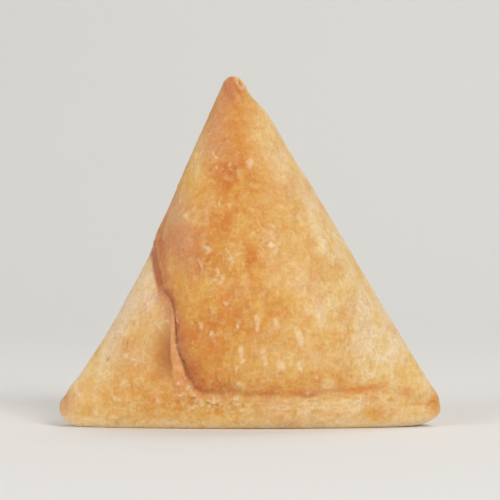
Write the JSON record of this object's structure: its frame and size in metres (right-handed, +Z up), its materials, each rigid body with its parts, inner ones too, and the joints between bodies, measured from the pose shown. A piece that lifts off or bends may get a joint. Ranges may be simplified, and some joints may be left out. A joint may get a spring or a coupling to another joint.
{
  "type": "fried pastry pocket",
  "caption": "Plump triangular fried pastry pocket, shut all round, with a fold down one edge and a pinched rim along its flat base.",
  "frame": {"origin": "middle of the bounding box in plan, on the plane of the flat base", "axes": "+Z up to the tip, +X towards the right base corner, -Y towards the side with the fold line"},
  "size_m": [0.0898, 0.0458, 0.083],
  "materials": {
    "crust": "golden-brown fried dough, blistered and slightly oily"
  },
  "bodies": {
    "root": {"pastry_pocket": "crust"}
  },
  "joints": []
}
